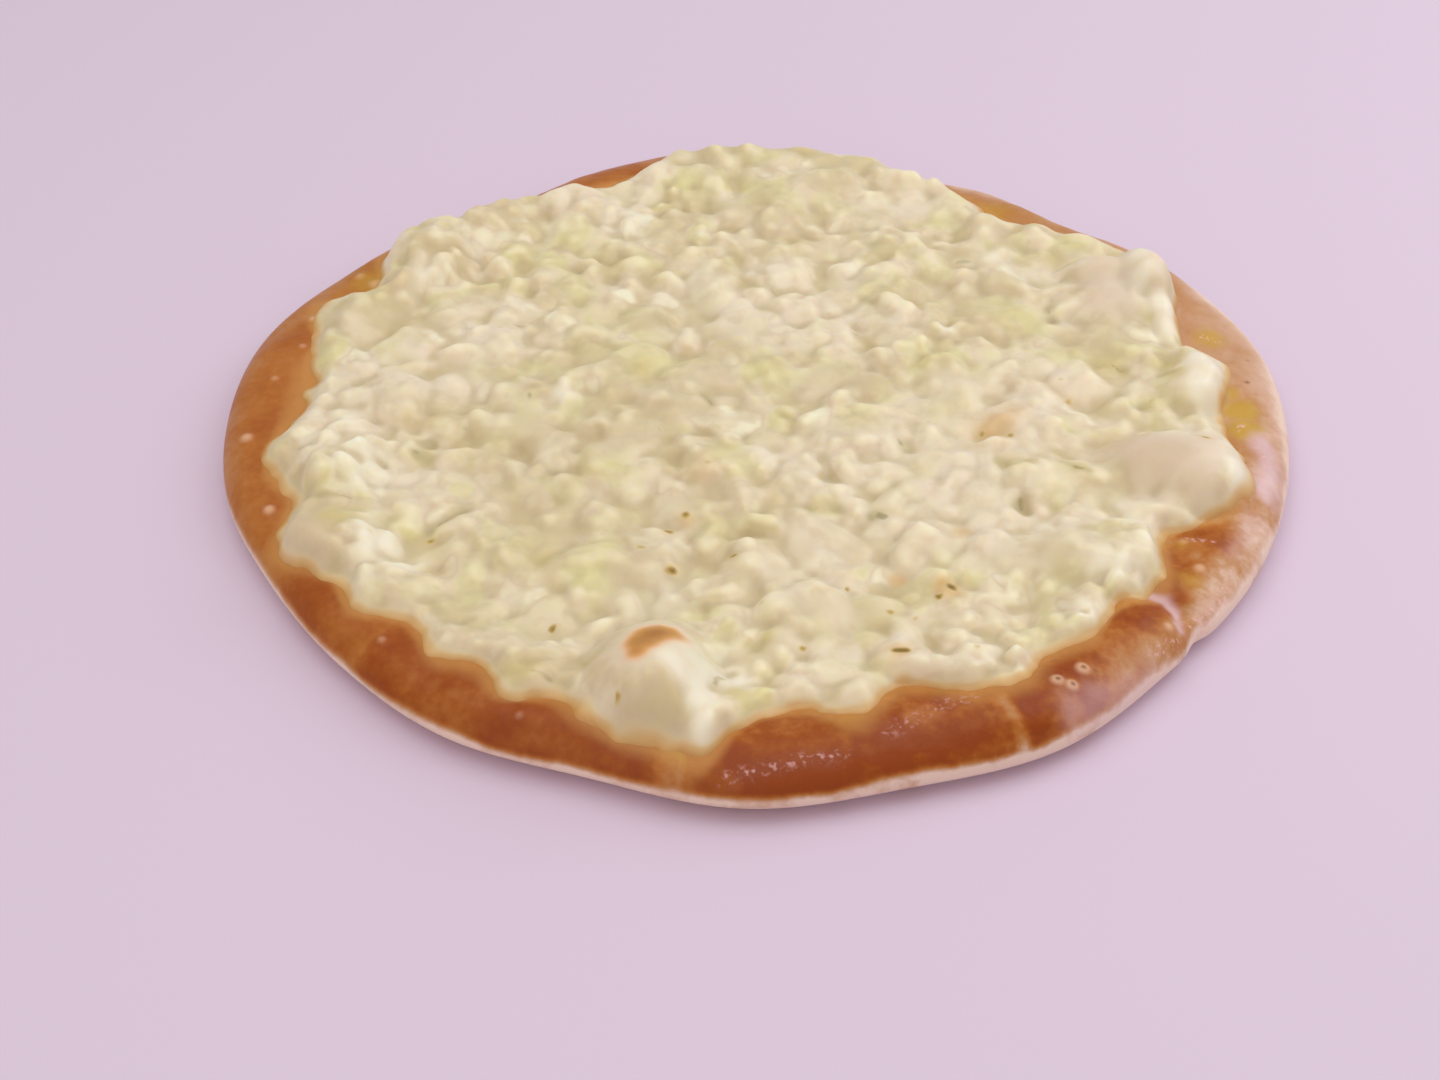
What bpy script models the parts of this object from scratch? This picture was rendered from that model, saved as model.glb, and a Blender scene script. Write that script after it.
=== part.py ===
"""A cheese manakish: a round flatbread with a puffed rim under a lumpy layer of melted white cheese.

Metres, +Z up. The origin is under the middle of the bread, on its flat bottom, and -Y is its front.
Every size in the tables is in millimetres, and every bearing in degrees, anticlockwise from +X.
"""
import math

import bpy
import numpy as np

MM = 0.001

# the bread's outer edge: bearing, distance from the middle
EDGE = ((0, 153.5), (12, 156.5), (25, 155.5), (34, 153.5), (47, 146.5), (59, 148.5), (68, 146),
        (77, 148.5), (97, 153), (110, 149), (122, 144), (134, 148), (147, 150), (163, 155.5),
        (180, 154), (193, 151.5), (205, 147.5), (222, 146), (237, 146.5), (252, 143.5),
        (268, 147), (284, 144.5), (300, 147), (316, 144.5), (334, 147.5), (352, 151.5))

# the bare crust outside the cheese: bearing, width
CRUST = ((0, 20), (9, 14.5), (16, 23), (24, 13.5), (30, 8), (38, 8), (46, 12), (54, 16),
         (59, 13), (64, 6), (72, 5), (80, 4.5), (92, 5), (97, 7), (104, 13), (112, 17),
         (121, 8), (127, 6), (134, 5), (144, 4.5), (153, 18), (157, 12), (165, 18.5), (176, 23),
         (184, 18.5), (187, 13), (191, 12.5), (196, 15.5), (206, 4.5), (214, 11.5), (219, 10), (224, 18.5),
         (232, 14), (237, 17), (242, 10.5), (247, 14), (250, 11), (254, 7.2), (258, 6.8), (261, 6.2),
         (264, 6.2), (267, 17), (274, 24.5), (280, 17), (287, 27), (294, 17), (299, 15), (304, 20.5),
         (310, 16), (317, 18), (323, 15), (333, 24.5), (341, 11.5), (345, 8.5), (350, 13),
         (355, 18.5))

# the top of the rim: bearing, height
CREST = ((0, 12.5), (50, 12), (95, 13), (140, 12), (190, 13), (235, 14.5), (280, 16), (315, 16.5),
         (340, 14))

WAIST = 6.0           # height of the rim's widest line
CREST_IN = 13.0       # from the outer edge in to the top of the rim
DISH = 26.0           # from the top of the rim in to the level dough
HEEL = 17.0           # from the outer edge in to where the bottom lies flat
DOUGH = 9.0           # thickness of the level dough

# the fold where two lobes of the rim meet
FOLD_AT = 321.5       # bearing
FOLD_WIDTH = 4.5      # half its width
FOLD_DEEP = 3.0
FOLD_NOTCH = 1.5      # how far it cuts into the outer edge

# air bubbles in the dough: x, y, half length, half width, turn of the length, rise, and the
# share of the lumps that its top loses
BUBBLES = (
    (-27, -112, 23, 18, 100, 15.0, 0.9),      # front, with the browned top
    (-112, -61, 18, 12, 165, 5.5, 0.3),       # left, towards the front
    (-116, -24, 17, 12, 80, 7.0, 0.15),       # left
    (-101, 78, 18, 13, 125, 8.0, 0.4),        # back left
    (21, 116, 17, 12, 10, 5.5, 0.5),          # back
    (110, 52, 23, 18, 130, 7.0, 0.85),        # right, towards the back
    (119.5, 60, 15, 10, 112, 13.0, 0.9),      # its folded outer peak
    (108, 64, 16, 9, 165, 10.0, 0.85),        # the shoulder beside that peak
    (122.5, 44, 16, 6.5, 97, 7.5, 0.9),       # the edge that runs down from that peak
    (127, 10, 14, 11, 80, 7.5, 0.7),          # right, small
    (115, -30, 24, 18, 155, 11.5, 0.95),      # right, broad and smooth
    (88, -66, 22, 15, 12, 8.0, 0.5),          # right, towards the front
    (35, -105, 9, 7, 0, 4.0, 0.6),            # small, at the front
)
BUBBLE_FULL = 2.5     # how full a bubble's shoulders are
BUBBLE_FOOT = 1.4     # how softly its foot runs out
BUBBLE_JOIN = 4.0     # how clearly bubbles that touch are set apart

# the cheese
GAP = 0.3             # clear of the bread under it
SKIN = 2.2            # thinnest cover away from its edge
LIP = 0.8             # thickness at its edge
LIP_RUN = 6.0         # from its edge in to full cover
LUMP_RUN = 9.0        # from its edge in to full lumps

# the cheese's most visible lumps: x, y, half length, half width, turn of the length, rise
LUMPS = (
    (-28, 113, 13, 8, 0, 3.5),
    (29, 107, 12, 8, 80, 3.5),
    (-60, 94, 12, 8, 100, 3.5),
    (11, 72, 13, 9, 90, 3.9),
    (55, 74, 8, 6, 90, 3.5),
    (74, 74, 8, 6, 60, 3.5),
    (-12, 61, 15, 9, 80, 3.9),
    (-66, 66, 9, 6, 90, 3.0),
    (-75, 62, 9, 5, 90, 3.5),
    (41, 49, 8, 6, 110, 3.9),
    (74, 46, 15, 12, 0, 2.8),
    (-119, 44, 12, 8, 100, 3.5),
    (-103, 33, 10, 8, 90, 3.5),
    (-87, 27, 8, 6, 0, 3.7),
    (-35, 23, 11, 9, 0, 3.9),
    (24, 25, 10, 8, 60, 3.0),
    (110, 28, 9, 8, 0, 3.0),
    (56, 10, 16, 9, 100, 3.9),
    (94, 11, 12, 8, 90, 3.5),
    (-57, 8, 11, 5, 90, 3.9),
    (-103, 4, 15, 9, 100, 3.9),
    (-115, -11, 11, 7, 95, 3.5),
    (-109, -24, 8, 6, 20, 3.9),
    (-120, -28, 7, 5, 60, 2.5),
    (-107, -54, 8, 6, 40, 3.5),
    (-103, -66, 7, 5, 100, 3.2),
    (48, -14, 11, 6, 100, 3.5),
    (-8, -27, 15, 11, 0, 4.4),
    (80, -35, 12, 9, 20, 3.9),
    (96, -60, 14, 7, 60, 3.5),
    (-103, -79, 8, 5, 140, 2.5),
    (28, -86, 9, 7, 0, 3.5),
    (-57, -101, 10, 7, 0, 3.2),
    (18, -105, 11, 9, 100, 3.5),
    (57, -103, 12, 9, 20, 3.9),
)

# the other lumps and the broad swells, on jittered grids: the ranges are lowest and highest
OTHER_LUMPS = {"pitch": 10.5, "long": (6.5, 11.0), "slim": (0.62, 0.95), "rise": (1.3, 3.7),
               "seed": 21}
SWELLS = {"pitch": 34.0, "long": (18.0, 27.0), "slim": (0.6, 0.9), "rise": (0.4, 2.4), "seed": 5}
JITTER = 0.8          # how far a lump strays, as a share of the pitch
MOSTLY_SMALL = 1.6    # leans the lengths towards the shorter end
TURN_STRAY = 60.0     # how far a lump's length may turn from straight front to back
LUMP_FLAT = 2.6       # how flat a lump's top is: higher is flatter
LUMP_FULL = 0.75      # how full its shoulders are: lower is fuller

# how finely the surfaces are divided
BREAD_RINGS = 20      # rings of the bread under the cheese, and of the cheese's underside
CHEESE_RINGS = 34     # rings of the cheese's upper side
EVEN_REACH = 132.0    # the cheese's middle rings are spaced as if it were a round of this radius
RAGGED = 5            # how late, going outward, the rings take up the ragged outline
CRUST_RINGS = (0.84, 0.66, 0.48, 0.32, 0.18, 0.07, 0.0)      # shares of the crust's width
HEEL_RINGS = (0.12, 0.4, 1.0)                                # shares of HEEL


def around(points, bearing):
    """Read a smooth closed curve through (bearing, value) points."""
    angle, value = np.array(points, dtype=float).T
    angle = np.concatenate([angle - 360, angle, angle + 360])
    value = np.tile(value, 3)
    slope = np.gradient(value, angle)
    left = np.clip(np.searchsorted(angle, bearing, side="right") - 1, 0, len(angle) - 2)
    span = angle[left + 1] - angle[left]
    t = (bearing - angle[left]) / span
    rise = value[left + 1] - value[left]
    pull_in = slope[left] * span - rise
    pull_out = rise - slope[left + 1] * span
    return value[left] + t * rise + t * (1 - t) * ((1 - t) * pull_in + t * pull_out)


def bearing_of(x, y):
    return np.degrees(np.arctan2(y, x)) % 360


def smoothstep(t):
    t = np.clip(t, 0, 1)
    return t * t * (3 - 2 * t)


def oval_share(x, y, mid_x, mid_y, long, slim, turn):
    """How far each point is from an oval's middle, as a share of the way to its rim."""
    c, s = math.cos(math.radians(turn)), math.sin(math.radians(turn))
    along = ((x - mid_x) * c + (y - mid_y) * s) / long
    across = ((y - mid_y) * c - (x - mid_x) * s) / slim
    return np.hypot(along, across)


def fold(bearing, radius):
    """The fold across the rim: 1 along its bottom, falling to 0 at its sides."""
    off = np.radians(bearing - FOLD_AT) * radius / FOLD_WIDTH
    return np.exp(-off ** 2)


def outer_edge(bearing):
    reach = around(EDGE, bearing)
    return reach - FOLD_NOTCH * fold(bearing, reach)


def cheese_edge(bearing):
    return around(EDGE, bearing) - around(CRUST, bearing)


def bubble_rise(x, y):
    """Height that the bubbles add, and the share of the lumps that they take away."""
    rise = np.zeros_like(x)
    bare = np.zeros_like(x)
    for mid_x, mid_y, long, slim, turn, height, smooth in BUBBLES:
        q = np.clip(oval_share(x, y, mid_x, mid_y, long, slim, turn), 0, 1)
        dome = (1 - q ** BUBBLE_FULL) ** BUBBLE_FOOT
        rise += (height * dome) ** BUBBLE_JOIN
        bare = np.maximum(bare, smooth * dome)
    return rise ** (1 / BUBBLE_JOIN), bare


def bread_top(x, y):
    """Height of the dough's upper side."""
    bearing, radius = bearing_of(x, y), np.hypot(x, y)
    inward = outer_edge(bearing) - radius
    crest = around(CREST, bearing)
    shoulder = 1 - np.clip(inward / CREST_IN, 0, 1)
    outer = WAIST + (crest - WAIST) * np.sqrt(1 - shoulder ** 2)
    dish = (crest - DOUGH) * smoothstep((inward - CREST_IN) / DISH)
    on_rim = smoothstep(inward / WAIST) * smoothstep(1 - (inward - CREST_IN) / DISH)
    return outer - dish + bubble_rise(x, y)[0] - FOLD_DEEP * fold(bearing, radius) * on_rim


def bread_bottom(inward):
    """Height of the underside at a distance in from the edge."""
    shoulder = 1 - np.clip(inward / HEEL, 0, 1)
    return WAIST * (1 - np.sqrt(1 - shoulder ** 2))


def scatter(pitch, long, slim, rise, seed):
    """Ovals on a jittered triangular grid over the whole bread: x, y, long, slim, turn, rise."""
    draw = np.random.RandomState(seed)
    reach = max(radius for bearing, radius in EDGE)
    row_gap = pitch * math.sqrt(3) / 2
    rows = int(reach / row_gap) + 1
    columns = int(reach / pitch) + 1
    ovals = []
    for row in range(-rows, rows + 1):
        for column in range(-columns, columns + 1):
            stray_x, stray_y, size, width, turn, height = draw.rand(6)
            mid_x = (column + row % 2 / 2 + (stray_x - 0.5) * JITTER) * pitch
            mid_y = row * row_gap + (stray_y - 0.5) * JITTER * pitch
            length = long[0] + (long[1] - long[0]) * size ** MOSTLY_SMALL
            width = length * (slim[0] + (slim[1] - slim[0]) * width)
            height = rise[0] + (rise[1] - rise[0]) * height
            ovals.append((mid_x, mid_y, length, width, 90 + (2 * turn - 1) * TURN_STRAY, height))
    return ovals


def other_lumps():
    """Random lumps wherever the lumps in the table leave room."""
    return [oval for oval in scatter(**OTHER_LUMPS)
            if min(oval_share(*oval[:2], *lump[:5]) for lump in LUMPS) > 1]


def ovals_rise(x, y, ovals):
    """Height that rounded ovals add: the tallest one at each point."""
    rise = np.zeros_like(x)
    for mid_x, mid_y, long, slim, turn, height in ovals:
        near = np.hypot(x - mid_x, y - mid_y) < long
        q = np.clip(oval_share(x[near], y[near], mid_x, mid_y, long, slim, turn), 0, 1)
        rise[near] = np.maximum(rise[near], height * (1 - q ** LUMP_FLAT) ** LUMP_FULL)
    return rise


def cheese_top(x, y):
    """Height of the cheese: thick and lumpy on the level dough, thin over bubbles and at its edge."""
    inward = cheese_edge(bearing_of(x, y)) - np.hypot(x, y)
    cover = LIP + (SKIN - LIP) * smoothstep(inward / LIP_RUN)
    lumpy = (1 - bubble_rise(x, y)[1]) * smoothstep(inward / LUMP_RUN)
    lumps = ovals_rise(x, y, list(LUMPS) + other_lumps()) + ovals_rise(x, y, scatter(**SWELLS))
    return bread_top(x, y) + GAP + cover + lumps * lumpy


def ring_grid(rings):
    """A disc of even triangles, fitted to the cheese: x, y, triangles, border anticlockwise."""
    share = [0.0]
    bearing = [0.0]
    triangles = []
    for ring in range(1, rings + 1):
        start, last = len(share), len(share) - max(6 * (ring - 1), 1)
        share += [ring / rings] * (6 * ring)
        bearing += [60 * step / ring for step in range(6 * ring)]
        for side in range(6):
            for step in range(ring):
                outer = side * ring + step
                inner = side * (ring - 1) + step
                a, b = start + outer, start + (outer + 1) % (6 * ring)
                c = last + inner % max(6 * (ring - 1), 1)
                triangles.append((a, b, c))
                if step < ring - 1:
                    d = last + (inner + 1) % (6 * (ring - 1))
                    triangles.append((b, d, c))
    share, bearing = np.array(share), np.array(bearing)
    reach = EVEN_REACH + (cheese_edge(bearing) - EVEN_REACH) * share ** RAGGED
    x = share * reach * np.cos(np.radians(bearing))
    y = share * reach * np.sin(np.radians(bearing))
    return x, y, triangles, list(range(len(share) - 6 * rings, len(share)))


def join_loops(lower, upper):
    """Triangles between two closed loops that start at one bearing and are evenly spaced."""
    triangles = []
    i = j = 0
    while i < len(lower) or j < len(upper):
        a, b = lower[i % len(lower)], upper[j % len(upper)]
        if (i + 1) * len(upper) <= (j + 1) * len(lower):
            i += 1
            triangles.append((a, lower[i % len(lower)], b))
        else:
            j += 1
            triangles.append((a, upper[j % len(upper)], b))
    return triangles


def bread_mesh():
    """The dough: a grid under the cheese, rings over the crust and under it, and a flat bottom."""
    x, y, triangles, border = ring_grid(BREAD_RINGS)
    points = list(zip(x, y, bread_top(x, y)))
    bearing = bearing_of(x[border], y[border])
    edge, cheese = outer_edge(bearing), cheese_edge(bearing)
    across, up = np.cos(np.radians(bearing)), np.sin(np.radians(bearing))
    rings = [(edge - share * (edge - cheese), True) for share in CRUST_RINGS]
    rings += [(edge - share * HEEL, False) for share in HEEL_RINGS]
    last = border
    for radius, on_top in rings:
        ring_x, ring_y = radius * across, radius * up
        height = bread_top(ring_x, ring_y) if on_top else bread_bottom(edge - radius)
        ring = list(range(len(points), len(points) + len(border)))
        points += zip(ring_x, ring_y, height)
        for k in range(len(ring)):
            n = (k + 1) % len(ring)
            triangles.append((last[k], ring[k], ring[n]))
            triangles.append((last[k], ring[n], last[n]))
        last = ring
    return points, triangles, [tuple(reversed(last))]


def cheese_mesh():
    """The cheese: a lumpy top, an underside a gap above the dough, and a thin upright edge."""
    x, y, under, low_border = ring_grid(BREAD_RINGS)
    points = list(zip(x, y, bread_top(x, y) + GAP))
    x, y, over, high_border = ring_grid(CHEESE_RINGS)
    start = len(points)
    points += zip(x, y, cheese_top(x, y))
    triangles = [tuple(reversed(face)) for face in under]
    triangles += [tuple(start + corner for corner in face) for face in over]
    triangles += join_loops(low_border, [start + corner for corner in high_border])
    return points, triangles, []


def middle_of_edge():
    """The middle of the box round the outer edge, which becomes the origin."""
    bearing = np.arange(0, 360, 0.5)
    reach = outer_edge(bearing)
    x, y = reach * np.cos(np.radians(bearing)), reach * np.sin(np.radians(bearing))
    return (x.min() + x.max()) / 2, (y.min() + y.max()) / 2


def add_object(name, shape, material):
    points, triangles, flats = shape
    mid_x, mid_y = middle_of_edge()
    places = [((x - mid_x) * MM, (y - mid_y) * MM, z * MM) for x, y, z in points]
    faces = [tuple(int(corner) for corner in face) for face in triangles + flats]
    mesh = bpy.data.meshes.new(name)
    mesh.from_pydata(places, [], faces)
    mesh.validate()
    mesh.shade_smooth()
    mesh.materials.append(material)
    part = bpy.data.objects.new(name, mesh)
    bpy.context.scene.collection.objects.link(part)
    return part


def make_material(name, colour, roughness):
    material = bpy.data.materials.new(name)
    material.use_nodes = True
    shader = material.node_tree.nodes["Principled BSDF"]
    shader.inputs["Base Color"].default_value = (*colour, 1.0)
    shader.inputs["Roughness"].default_value = roughness
    shader.inputs["Metallic"].default_value = 0.0
    return material


def main():
    for old in list(bpy.data.objects):
        bpy.data.objects.remove(old, do_unlink=True)
    crust = make_material("browned_crust", (0.40, 0.15, 0.045), 0.35)
    cheese = make_material("melted_cheese", (0.76, 0.66, 0.42), 0.40)
    add_object("bread", bread_mesh(), crust)
    add_object("cheese", cheese_mesh(), cheese)


main()
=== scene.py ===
"""The looks of a cheese manakish: its browned, oiled rim and its lumpy melted cheese, on a plain pale floor.

The tables and shape rules repeat the part's own, in millimetres and degrees, and the finer relief of
the baked dough and the melted curds is laid over them. -Y is the front, and bearings run
anticlockwise from +X.
"""
import math

import bpy
import numpy as np
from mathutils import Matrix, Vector


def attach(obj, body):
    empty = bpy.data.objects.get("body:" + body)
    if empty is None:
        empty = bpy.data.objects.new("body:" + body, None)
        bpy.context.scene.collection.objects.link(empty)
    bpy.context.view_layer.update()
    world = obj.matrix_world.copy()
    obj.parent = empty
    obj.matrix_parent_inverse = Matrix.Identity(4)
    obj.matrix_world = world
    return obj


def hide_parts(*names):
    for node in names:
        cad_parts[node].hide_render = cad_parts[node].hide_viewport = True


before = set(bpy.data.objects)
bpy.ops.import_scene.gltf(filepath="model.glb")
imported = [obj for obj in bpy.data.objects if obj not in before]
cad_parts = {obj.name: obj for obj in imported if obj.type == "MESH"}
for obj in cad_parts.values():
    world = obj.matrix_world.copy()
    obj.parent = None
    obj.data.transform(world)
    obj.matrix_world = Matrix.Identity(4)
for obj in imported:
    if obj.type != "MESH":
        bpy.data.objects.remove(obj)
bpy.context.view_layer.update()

MM = 0.001

# the bread's outer edge: bearing, distance from the middle
EDGE = ((0, 153.5), (12, 156.5), (25, 155.5), (34, 153.5), (47, 146.5), (59, 148.5), (68, 146),
        (77, 148.5), (97, 153), (110, 149), (122, 144), (134, 148), (147, 150), (163, 155.5),
        (180, 154), (193, 151.5), (205, 147.5), (222, 146), (237, 146.5), (252, 143.5),
        (268, 147), (284, 144.5), (300, 147), (316, 144.5), (334, 147.5), (352, 151.5))

# the bare crust outside the cheese: bearing, width
CRUST = ((0, 20), (9, 14.5), (16, 23), (24, 13.5), (30, 8), (38, 8), (46, 12), (54, 16),
         (59, 13), (64, 6), (72, 5), (80, 4.5), (92, 5), (97, 7), (104, 13), (112, 17),
         (121, 8), (127, 6), (134, 5), (144, 4.5), (153, 18), (157, 12), (165, 18.5), (176, 23),
         (184, 18.5), (187, 13), (191, 12.5), (196, 15.5), (206, 4.5), (214, 11.5), (219, 10), (224, 18.5),
         (232, 14), (237, 17), (242, 10.5), (247, 14), (250, 11), (254, 7.2), (258, 6.8), (261, 6.2),
         (264, 6.2), (267, 17), (274, 24.5), (280, 17), (287, 27), (294, 17), (299, 15), (304, 20.5),
         (310, 16), (317, 18), (323, 15), (333, 24.5), (341, 11.5), (345, 8.5), (350, 13),
         (355, 18.5))

# the top of the rim: bearing, height
CREST = ((0, 12.5), (50, 12), (95, 13), (140, 12), (190, 13), (235, 14.5), (280, 16), (315, 16.5),
         (340, 14))

WAIST = 6.0         # height of the rim's widest line
CREST_IN = 13.0     # from the outer edge in to the top of the rim
DISH = 26.0         # from the top of the rim in to the level dough
HEEL = 17.0         # from the outer edge in to where the bottom lies flat
DOUGH = 9.0         # thickness of the level dough

# the fold where two lobes of the rim meet
FOLD_AT = 321.5     # bearing
FOLD_WIDTH = 4.5    # half its width
FOLD_DEEP = 3.0
FOLD_NOTCH = 1.5    # how far it cuts into the outer edge

# air bubbles in the dough: x, y, half length, half width, turn of the length, rise, and the
# share of the lumps that its top loses
BUBBLES = (
    (-27, -112, 23, 18, 100, 15, 0.9),    # front, with the browned top
    (-112, -61, 18, 12, 165, 5.5, 0.3),   # left, towards the front
    (-116, -24, 17, 12, 80, 7, 0.15),     # left
    (-101, 78, 18, 13, 125, 8, 0.4),      # back left
    (21, 116, 17, 12, 10, 5.5, 0.5),      # back
    (110, 52, 23, 18, 130, 7, 0.85),      # right, towards the back
    (119.5, 60, 15, 10, 112, 13, 0.9),    # its folded outer peak
    (108, 64, 16, 9, 165, 10, 0.85),      # the shoulder beside that peak
    (122.5, 44, 16, 6.5, 97, 7.5, 0.9),   # the edge that runs down from that peak
    (127, 10, 14, 11, 80, 7.5, 0.7),      # right, small
    (115, -30, 24, 18, 155, 11.5, 0.95),  # right, broad and smooth
    (88, -66, 22, 15, 12, 8, 0.5),        # right, towards the front
    (35, -105, 9, 7, 0, 4, 0.6),          # small, at the front
)
BUBBLE_FULL = 2.5   # how full a bubble's shoulders are
BUBBLE_FOOT = 1.4   # how softly its foot runs out
BUBBLE_JOIN = 4.0   # how clearly bubbles that touch are set apart

# the cheese
SKIN = 2.5          # thinnest cover away from its edge
LIP_RUN = 6.0       # from its edge in to full cover
LIP_FULL = 0.8      # how full its lip is: lower is fuller
LUMP_RUN = 9.0      # from its edge in to full lumps
DIP_OUT = 2.5       # how far past its edge it goes on falling
DIP_FALL = 0.8      # how steeply
FILM = 3.8          # width of its browned edge

# the cheese's most visible lumps: x, y, half length, half width, turn of the length, rise
LUMPS = (
    (-28, 113, 13, 8, 0, 3.5), (29, 107, 12, 8, 80, 3.5), (-60, 94, 12, 8, 100, 3.5),
    (11, 72, 13, 9, 90, 3.9), (55, 74, 8, 6, 90, 3.5), (74, 74, 8, 6, 60, 3.5),
    (-12, 61, 15, 9, 80, 3.9), (-66, 66, 9, 6, 90, 3), (-75, 62, 9, 5, 90, 3.5),
    (41, 49, 8, 6, 110, 3.9), (74, 46, 15, 12, 0, 2.8), (-119, 44, 12, 8, 100, 3.5),
    (-103, 33, 10, 8, 90, 3.5), (-87, 27, 8, 6, 0, 3.7), (-35, 23, 11, 9, 0, 3.9),
    (24, 25, 10, 8, 60, 3), (110, 28, 9, 8, 0, 3), (56, 10, 16, 9, 100, 3.9),
    (94, 11, 12, 8, 90, 3.5), (-57, 8, 11, 5, 90, 3.9), (-103, 4, 15, 9, 100, 3.9),
    (-115, -11, 11, 7, 95, 3.5), (-109, -24, 8, 6, 20, 3.9), (-120, -28, 7, 5, 60, 2.5),
    (-107, -54, 8, 6, 40, 3.5), (-103, -66, 7, 5, 100, 3.2), (48, -14, 11, 6, 100, 3.5),
    (-8, -27, 15, 11, 0, 4.4), (80, -35, 12, 9, 20, 3.9), (96, -60, 14, 7, 60, 3.5),
    (-103, -79, 8, 5, 140, 2.5), (28, -86, 9, 7, 0, 3.5), (-57, -101, 10, 7, 0, 3.2),
    (18, -105, 11, 9, 100, 3.5), (57, -103, 12, 9, 20, 3.9),
)

# other lumps, swells and small curds on jittered grids: pitch, ranges of the half length, of the
# half width as a share of it and of the rise, seed
OTHER_LUMPS = (10.5, (6.5, 11.0), (0.62, 0.95), (1.3, 3.7), 21)
SWELLS = (34.0, (18.0, 27.0), (0.6, 0.9), (0.4, 2.4), 5)
FLAKES = (8.5, (5.0, 11.0), (0.6, 0.95), (0.0, 1.8), 8)
KNOBS = (6.2, (3.0, 4.6), (0.75, 1.0), (1.6, 4.0), 10)
CRUMBS = (4.6, (2.2, 5.0), (0.5, 0.95), (0.0, 0.8), 9)
JITTER = 0.8        # how far a lump strays, as a share of the pitch
MOSTLY_SMALL = 1.6  # leans the lengths towards the shorter end
TURN_STRAY = 60.0   # how far a lump's length may turn from straight front to back
LUMP_FLAT = 2.6     # how flat a lump's top is: higher is flatter
LUMP_FULL = 0.75    # how full its shoulders are: lower is fuller
FLAKE_FLAT = 4.0    # how flat a packed curd is: higher is flatter
FLAKE_BULGE = 0.9   # height of a flake's top over its rim
CRUMB_BULGE = 0.45  # and of a crumb's
LEAN = 0.5          # how much higher one side of a lump is than its middle

# how far outlines stray, and over what width
BEND, BEND_WIDE = 1.3, 3.5    # of lumps
JAG, JAG_WIDE = 0.55, 1.3     # of flakes and crumbs besides
ROUGH, ROUGH_WIDE = 0.4, 1.2  # of folds, clusters and most coloured spots
STRAY = 3 * BEND              # the farthest of all
FADE = 3.0                    # how many of its widths out a soft spot ends

# random waves: height, width, seed
EDGE_WAVES = (0.8, 2.6, 31)   # in the cheese's edge
EDGE_TEETH = (0.2, 1.2, 32)
DOUGH_WAVES = (0.45, 7, 41)   # in the dough
DOUGH_PORES = (0.1, 1.6, 42)
DOUGH_RUN = 5.0               # from the outer edge in to full waves
BARE_WAVES = (0.22, 4, 73)    # in the cheese on the smooth bubbles

# patchy strengths: their middle, the waves in them, the most
MELTED = (0.42, 0.42, 6, 71, 1.0)
HOLLOWED = (0.7, 0.5, 1.6, 19, 1.5)
PITTED = (0.8, 0.5, 1.5, 20, 1.0)

# the height that small curds keep: everywhere, besides where firm, besides in a cluster
FLAKES_KEPT = (0.5, 0.0, 0.3)
CRUMBS_KEPT = (0.2, 0.35, 0.4)
KNOBS_KEPT = (0.1, 0.35, 0.0)

# the gaps between melted curds: how far below their surroundings, how wide those are, softness
GAP_DEEP, GAP_WIDE, GAP_SOFT = 0.45, 3.0, 0.3

# how widely the maps are softened
SOFT = {"melted": 1.0, "lumps": 0.9, "bare": 1.0, "relief": 0.75, "colours": 0.8, "level": 4.0,
        "crescent": 0.7}

# shares lost: of melted curds' relief, of large lumps in a cluster, and, on the smooth bubbles, of
# the edge's waves and the valleys' painted shade
MELT_LOST, LUMPS_LOST, EDGE_LOST, VALLEY_LOST = 0.6, 0.5, 0.8, 0.7

CUT = 0.6           # how deep the hollows cut, as a share of their depth
CLUSTER_FULL = 1.5  # how broad the full part of a cluster is: higher is broader
CLUSTER_NEAR = 0.5  # how much nearer the edge it is at full height
BARE_FALL = 1.3     # how fast the lumps fade on the smooth bubbles
BARE_FLAKES = 0.12  # share of the flakes that is left there

# how deep or high the valleys, the crowns and the hollows are at full colour: the valleys and the
# hollows get painted shade, the crowns a painted highlight
VALLEY_DEEP, CROWN_HIGH, HOLLOW_DEEP = 1.6, 1.8, 1.5
HOLLOW_RUN = 3.0    # from the edge in to the hollows' full colour
TONE_SHARES = (0.4, 0.45, 0.15)    # of the lumps', the flakes' and the crumbs' own tones
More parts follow.
